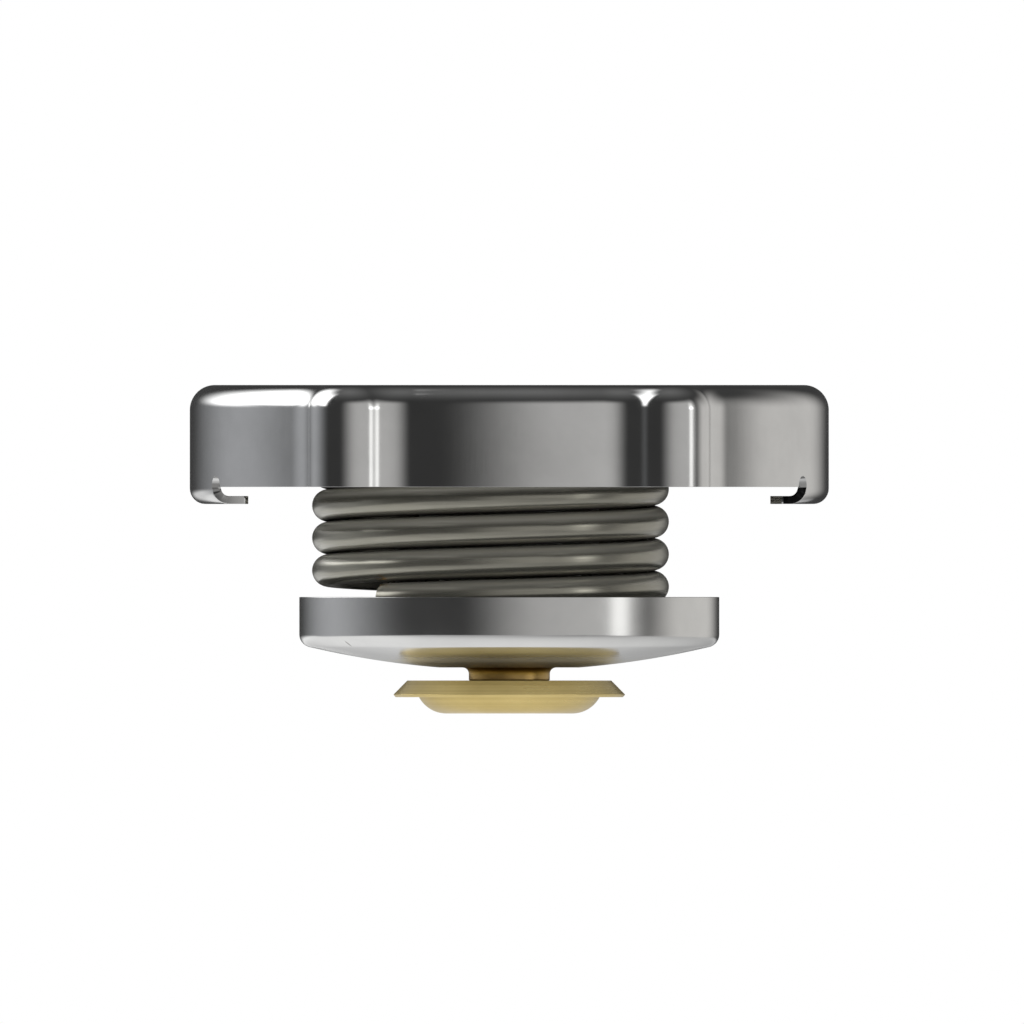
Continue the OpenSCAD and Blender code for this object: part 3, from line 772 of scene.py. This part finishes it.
            # the relief hole bites a little into the side of the lug
            bite = sqrt(max(0, hole ** 2 - (z - holeZ) ** 2)) - (holeY - half)
            across = y - max(0, bite) if column[0] == "edge" else y
            return sqrt(r * r - across * across), across, z

        heights = [foot + (bendTop - foot) * i / steps["bend"] for i in range(1, steps["bend"])]
        sides = []
        for r, turned in ((earR, bend), (earR - sheet, look["lugBend"])):
            sides.append([spot(r, z) for z in heights])
            sides[-1] += [spot(bendX + turned * cos(t), bendTop - turned * sin(t))
                          for t in quarterTurn(steps["bend"])]
        return sides[0] + [(tip, y, lugZ), (tip, y, lugZ + sheet)] + sides[1][::-1]

    bm = bmesh.new()

    def put(spot, side, turn):
        return bm.verts.new((spot[0] * turn * mm, spot[1] * side * turn * mm, spot[2] * mm))

    grid = []   # kind, wall vertices, lug vertices, whether it is the leading side
    quarter = [(column, columnRows(column)) for column in columns]
    for turn in (1, -1):
        halfTurn = [(c, r, -1, lead) for c, r in reversed(quarter[1:-1])]
        halfTurn += [(c, r, 1, trail) for c, r in quarter]
        for column, rows, side, cut in halfTurn:
            wall = [put(p, side, turn) for p in rows]
            lug = [put(p, side, turn) for p in lugRows(column, cut)] if column[0] in onLug else []
            grid.append((column[0], wall, [wall[0]] + lug + [wall[-1]], cut == lead))
    for i, (kind, wall, strip, leading) in enumerate(grid):
        nextKind, nextWall, nextStrip, _ = grid[(i + 1) % len(grid)]
        if kind in onLug and nextKind in onLug:
            lines = (strip, nextStrip)
        else:
            lines = ([wall[0], wall[-1]], [nextWall[0], nextWall[-1]])
        for first, second in ((wall, nextWall), lines):
            for k in range(len(first) - 1):
                bm.faces.new((first[k], second[k], second[k + 1], first[k + 1]))
        # the leading cut face of each lug, below the rim, takes the near-black second material: painted shade
        if kind == "edge":
            for k in range(len(strip) // 2 - 1):
                face = bm.faces.new((strip[k], strip[k + 1], strip[-2 - k], strip[-1 - k]))
                face.material_index = int(leading and face.calc_center_median().z < rimZ * mm)

    def easedAt(spot):
        # the relief holes stay crisp, and the rivet's head covers the edge of its hole
        if hypot(spot.x, spot.y) < look["rivetHole"] + hold:
            return False
        byRelief = half - look["crispBefore"] < abs(spot.y) < holeY + hole + look["crispAfter"]
        return not byRelief or spot.z < holeZ - hole or abs(spot.x) < earR / 2

    mesh = finishMesh("capShell", bm, bevel=look["edgeEase"], sharp=50, eased=easedAt)
    mesh.materials.append(polishedSteel)
    mesh.materials.append(paintedShadeFace)
    placePiece("capShell", mesh, polishedSteel, "shell", "cap_shell")


makeCapShell()

# centre rivet
rivetLook = {"shank": 2.5, "head": 4.4, "headRise": 1.1, "headSteps": 14, "tail": 4.0, "tailRise": 1.0,
             "tailRound": 0.45, "tailEase": 0.1}


def makeCentreRivet():
    look = rivetLook
    low, high = boxMm("centre_rivet")
    seat = high.z - look["headRise"]
    tail, tailTop = look["tail"], low.z + look["tailRise"]
    domeR = (look["head"] ** 2 + look["headRise"] ** 2) / (2 * look["headRise"])
    edge = degrees(asin(look["head"] / domeR))
    path = filletPath([(0, low.z, 0), (tail, low.z, look["tailRound"]), (tail, tailTop, look["tailEase"]),
                       (look["shank"], tailTop, 0), (look["shank"], seat, 0)])
    path += arcPath(0, high.z - domeR, domeR, 90 - edge, 90, look["headSteps"])
    placeLathe("centreRivet", path, platedSteel, "shell", "centre_rivet", "plated_steel", segments=96)


makeCentreRivet()

# diaphragm, gasket and seats under the crown
discLook = {"thick": 0.4, "step": 0.65, "slopeIn": 21.3, "slopeOut": 22.3, "slopeRound": 0.5,
            "hole": 2.55, "holeEase": 0.05, "ease": 0.12}


def makeDiaphragm():
    look = discLook
    low, high = boxMm("diaphragm_disc")
    top, step, bend, ease = high.z, look["step"], look["slopeRound"], look["ease"]
    hole, slopeIn, slopeOut = look["hole"], look["slopeIn"], look["slopeOut"]
    path = filletPath([
        (hole, top, look["holeEase"]), (slopeIn, top, bend), (slopeOut, top - step, bend),
        (high.x, top - step, ease), (high.x, low.z, ease), (slopeOut, low.z, bend),
        (slopeIn, low.z + step, bend), (hole, top - look["thick"], look["holeEase"])], closed=True)
    placeLathe("diaphragmDisc", path, satinSteel, "carrier", "diaphragm_disc", "satin_steel", closed=True)


gasketLook = {"width": 3.6, "topEase": 0.1, "outerRound": 0.45, "innerRound": 0.3}


def makeNeckGasket():
    look = gasketLook
    low, high = boxMm("neck_gasket")
    inside = high.x - look["width"]
    path = filletPath([(inside, high.z, look["topEase"]), (high.x, high.z, look["topEase"]),
                       (high.x, low.z, look["outerRound"]), (inside, low.z, look["innerRound"])], closed=True)
    placeLathe("neckGasket", path, blackRubber, "carrier", "neck_gasket", "rubber", closed=True)


seatLook = {"sheet": 0.8, "outerRound": 1.0, "innerRound": 0.3, "edgeEase": 0.15,
            "hole": 2.55, "holeEase": 0.1}


def makeUpperSeat():
    look = seatLook
    low, high = boxMm("upper_spring_seat")
    inX, inZ = high.x - look["sheet"], high.z - look["sheet"]
    path = filletPath([
        (look["hole"], high.z, look["holeEase"]), (high.x, high.z, look["outerRound"]),
        (high.x, low.z, look["edgeEase"]), (inX, low.z, look["edgeEase"]),
        (inX, inZ, look["innerRound"]), (look["hole"], inZ, look["holeEase"])], closed=True)
    placeLathe("upperSpringSeat", path, platedSteel, "carrier", "upper_spring_seat", "plated_steel",
               closed=True)


guideLook = {"sheet": 0.8, "lip": 1.3, "lipOver": 0.2, "lipUnder": 0.6, "lipEase": 0.15,
             "hole": 2.55, "holeEase": 0.1, "topRound": 0.9, "topInner": 0.25}


def makeGuideCup():
    look = guideLook
    low, high = boxMm("guide_cup")
    sheet, side = look["sheet"], high.x - look["lip"]
    path = filletPath([
        (look["hole"], high.z, look["holeEase"]), (side, high.z, look["topRound"]),
        (side, low.z + sheet, look["lipOver"]), (high.x, low.z + sheet, look["lipEase"]),
        (high.x, low.z, look["lipEase"]), (side - sheet, low.z, look["lipUnder"]),
        (side - sheet, high.z - sheet, look["topInner"]),
        (look["hole"], high.z - sheet, look["holeEase"])], closed=True)
    placeLathe("guideCup", path, platedSteel, "carrier", "guide_cup", "plated_steel", closed=True)


makeDiaphragm()
makeNeckGasket()
makeUpperSeat()
makeGuideCup()

# the two springs, both from one coil tree
mainSpringLook = {"wire": 3.18, "turns": 4.952, "start": 229.5, "sides": 40, "stepsPerTurn": 96,
                  "endEase": 0.12, "anchor": 29.25, "travel": 1.0}
vacuumSpringLook = {"wire": 0.4, "turns": 4.0, "start": 0, "sides": 16, "stepsPerTurn": 64,
                    "endEase": 0.03, "anchor": 5.4, "travel": 1.5}
coilSockets = {"Geometry": "Geometry", "Wire Radius": "Float", "Coil Radius": "Float", "Rise": "Float",
               "Turns": "Float", "Start Angle": "Vector", "Foot": "Vector", "Steps Per Turn": "Int",
               "Sides": "Int", "Material": "Material"}


def coilTree():
    tree = bpy.data.node_groups.new("wireCoil", "GeometryNodeTree")
    for label, kind in coilSockets.items():
        tree.interface.new_socket(label, in_out="INPUT", socket_type="NodeSocket" + kind)
    tree.interface.new_socket("Geometry", in_out="OUTPUT", socket_type="NodeSocketGeometry")
    given = addNode(tree, "NodeGroupInput").outputs

    def store(name, kind, geometry, value):
        values = {"Name": name, "Geometry": geometry, "Value": value}
        node = addNode(tree, "GeometryNodeStoreNamedAttribute", values, data_type=kind, domain="POINT")
        return node.outputs[0]

    # reversed, so the coil is right-handed
    spiral = addNode(tree, "GeometryNodeCurveSpiral", {
        "Reverse": True, "Resolution": given["Steps Per Turn"], "Rotations": given["Turns"],
        "Start Radius": given["Coil Radius"], "End Radius": given["Coil Radius"], "Height": given["Rise"]})
    moved = addNode(tree, "GeometryNodeTransform", {
        "Geometry": spiral.outputs[0], "Rotation": given["Start Angle"], "Translation": given["Foot"]})
    length = addNode(tree, "GeometryNodeSplineParameter").outputs["Length"]
    centreLine = store("wireAlong", "FLOAT", moved.outputs[0], length)
    ring = addNode(tree, "GeometryNodeCurvePrimitiveCircle",
                   {"Resolution": given["Sides"], "Radius": given["Wire Radius"]}, mode="RADIUS")
    place = addNode(tree, "GeometryNodeInputPosition").outputs[0]
    section = store("wireRound", "FLOAT_VECTOR", ring.outputs[0],
                    addVector(tree, "NORMALIZE", {0: place})[0])
    sweep = addNode(tree, "GeometryNodeCurveToMesh",
                    {"Curve": centreLine, "Profile Curve": section, "Fill Caps": True})
    facing = sidesOf(tree, addNode(tree, "GeometryNodeInputNormal").outputs[0])
    swept = store("wireUp", "FLOAT", sweep.outputs[0], facing["Z"])
    paint = addNode(tree, "GeometryNodeSetMaterial", {"Geometry": swept, "Material": given["Material"]})
    addNode(tree, "NodeGroupOutput", {0: paint.outputs[0]})
    return tree


wireCoil = coilTree()


def makeSpring(name, look, body, node):
    low, high = boxMm(node)
    wire, anchorZ = look["wire"], look["anchor"]
    # the main spring's middle comes from its right side and its depth
    centreX = (low.x + high.x) / 2 if node == "vacuum_spring" else high.x - (high.y - low.y) / 2
    outer = (high.x - low.x) / 2
    host = addObject(name + "Host", bpy.data.meshes.new(name + "Host"))
    coil = host.modifiers.new("coil", "NODES")
    coil.node_group = wireCoil
    values = {
        "Wire Radius": wire / 2 * mm, "Coil Radius": (outer - wire / 2) * mm,
        "Rise": (high.z - low.z - wire) * mm, "Turns": look["turns"],
        "Start Angle": (0, 0, radians(look["start"])),
        "Foot": (centreX * mm, 0, (low.z + wire / 2) * mm),
        "Steps Per Turn": look["stepsPerTurn"], "Sides": look["sides"], "Material": springSteel}
    for item in wireCoil.interface.items_tree:
        if item.in_out == "INPUT" and item.name in values:
            coil[item.identifier] = values[item.name]
    depsgraph = bpy.context.evaluated_depsgraph_get()
    mesh = bpy.data.meshes.new_from_object(host.evaluated_get(depsgraph), preserve_all_data_layers=True,
                                           depsgraph=depsgraph)
    bpy.data.objects.remove(host)
    bm = bmesh.new()
    bm.from_mesh(mesh)
    bmesh.ops.recalc_face_normals(bm, faces=bm.faces)
    ends = [f for f in bm.faces if len(f.verts) > 4]   # the two cut faces of the wire
    bmesh.ops.bevel(bm, geom=list({e for f in ends for e in f.edges}), offset=look["endEase"] * mm,
                    segments=2, profile=0.5, affect="EDGES")
    bm.to_mesh(mesh)
    bm.free()
    shadeMesh(mesh, 40)
    piece = placePiece(name, mesh, springSteel, body, node)
    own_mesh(piece)


makeSpring("mainSpring", mainSpringLook, "carrier", "main_spring")
makeSpring("vacuumSpring", vacuumSpringLook, "pressure_valve", "vacuum_spring")

# spring pan: the pressed solid with its flow holes, merged and smoothed
panLook = {"merge": 0.001, "sharp": 30}


def makeSpringPan():
    bm = bmesh.new()
    bm.from_mesh(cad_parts["spring_pan"].data)
    bmesh.ops.remove_doubles(bm, verts=bm.verts, dist=panLook["merge"] * mm)
    mesh = finishMesh("springPan", bm, sharp=panLook["sharp"])
    placePiece("springPan", mesh, platedSteel, "pressure_valve", "spring_pan")


makeSpringPan()

# pressure plate: drawn cup with a domed underside and a collar
plateLook = {"sheet": 0.8, "height": 7.05, "domeRound": 87, "domeSteps": 24, "flat": 7.0, "flatHold": 0.6,
             "cornerRound": 1.3, "cornerSteps": 10, "wallFrom": 1, "collar": 4.05, "bore": 3.2,
             "collarEase": 0.12, "collarFillet": 0.65, "rimRound": 0.07}


def makePressurePlate():
    look = plateLook
    low, high = boxMm("pressure_plate")
    outer, rimZ = high.x, high.z
    underZ = rimZ - look["height"]
    sheet, dome, corner = look["sheet"], look["domeRound"], look["cornerRound"]
    domeZ = underZ + sqrt(dome ** 2 - look["flat"] ** 2)
    cornerX = outer - corner
    cornerZ = domeZ - sqrt((dome - corner) ** 2 - cornerX ** 2)
    lean = degrees(atan2(cornerZ - domeZ, cornerX))

    def shellPath(inset):
        # from the flat out along the dome and round the corner
        inFlat = sqrt((dome - inset) ** 2 - (domeZ - underZ - inset) ** 2)
        start = degrees(atan2(underZ + inset - domeZ, inFlat))
        path = arcPath(0, domeZ, dome - inset, start, lean, look["domeSteps"])
        return path + arcPath(cornerX, cornerZ, corner - inset, lean, 0, look["cornerSteps"])[1:]

    bore, collar, ease = look["bore"], look["collar"], look["collarEase"]
    path = filletPath([(bore, underZ + sheet, 0), (bore, low.z, ease), (collar, low.z, ease),
                       (collar, underZ, look["collarFillet"]), (look["flat"] - look["flatHold"], underZ, 0)])
    path += shellPath(0)
    wallZ, inside, rim = cornerZ + look["wallFrom"], outer - sheet, look["rimRound"]
    path += filletPath([(outer, wallZ, 0), (outer, rimZ, rim), (inside, rimZ, rim), (inside, wallZ, 0)])
    path += reversed(shellPath(sheet))
    placeLathe("pressurePlate", path, satinSteel, "pressure_valve", "pressure_plate", "satin_steel",
               closed=True, segments=256)


makePressurePlate()

# vacuum valve: turned brass, with its rubber washer, stem washer and closed stem
valveLook = {"foot": 6.3, "bowlRound": 3.1, "bowlHeight": 1.63, "bowlSteps": 14, "groove": 0.15,
             "edge": 0.25, "underEase": 0.06, "edgeEase": 0.08, "slant": 1.4, "slantEase": 0.1,
             "flangeTop": 3.3, "pocket": 4.33, "pocketZ": 2.37, "pocketEase": 0.05, "stem": 1.5,
             "headRound": 2.2, "headRise": 0.5, "headUnder": 0.1, "headTop": 0.3}


def makeVacuumValve():
    look = valveLook
    low, high = boxMm("vacuum_valve")
    outer, bowl, flangeZ, underHead = high.x, look["bowlRound"], look["bowlHeight"], high.z - look["headRise"]
    pocket, pocketZ, flangeTop = look["pocket"], look["pocketZ"], look["flangeTop"]
    bowlEnd = degrees(acos((bowl - flangeZ) / bowl))
    path = [(0, low.z)] + arcPath(look["foot"], low.z + bowl, bowl, -90, -90 + bowlEnd, look["bowlSteps"])
    path += filletPath([
        (path[-1][0] + look["groove"], flangeZ, 0), (outer - look["edge"], flangeZ, look["underEase"]),
        (outer, flangeZ + look["edge"], look["edgeEase"]),
        (outer - look["slant"], flangeTop, look["slantEase"]), (pocket, flangeTop, look["edgeEase"]),
        (pocket, pocketZ, look["pocketEase"]), (look["stem"], pocketZ, look["pocketEase"]),
        (look["stem"], underHead, 0),
        (look["headRound"], underHead, look["headUnder"]), (look["headRound"], high.z, look["headTop"]),
        (0, high.z, 0)])
    placeLathe("vacuumValve", path, turnedBrass, "vent", "vacuum_valve", "brass", segments=192)


sealLook = {"hole": 1.53, "ease": 0.15}
stemWasherLook = {"hole": 1.53, "ease": 0.08}


def makeWasher(name, look, node, material, slotName):
    low, high = boxMm(node)
    corners = ((look["hole"], high.z), (high.x, high.z), (high.x, low.z), (look["hole"], low.z))
    path = filletPath([(r, z, look["ease"]) for r, z in corners], closed=True, steps=3)
    placeLathe(name, path, material, "vent", node, slotName, closed=True, segments=96)


makeVacuumValve()
makeWasher("vacuumSeal", sealLook, "vacuum_seal", blackRubber, "rubber")
makeWasher("stemWasher", stemWasherLook, "stem_washer", platedSteel, "plated_steel")

print("all pieces placed")
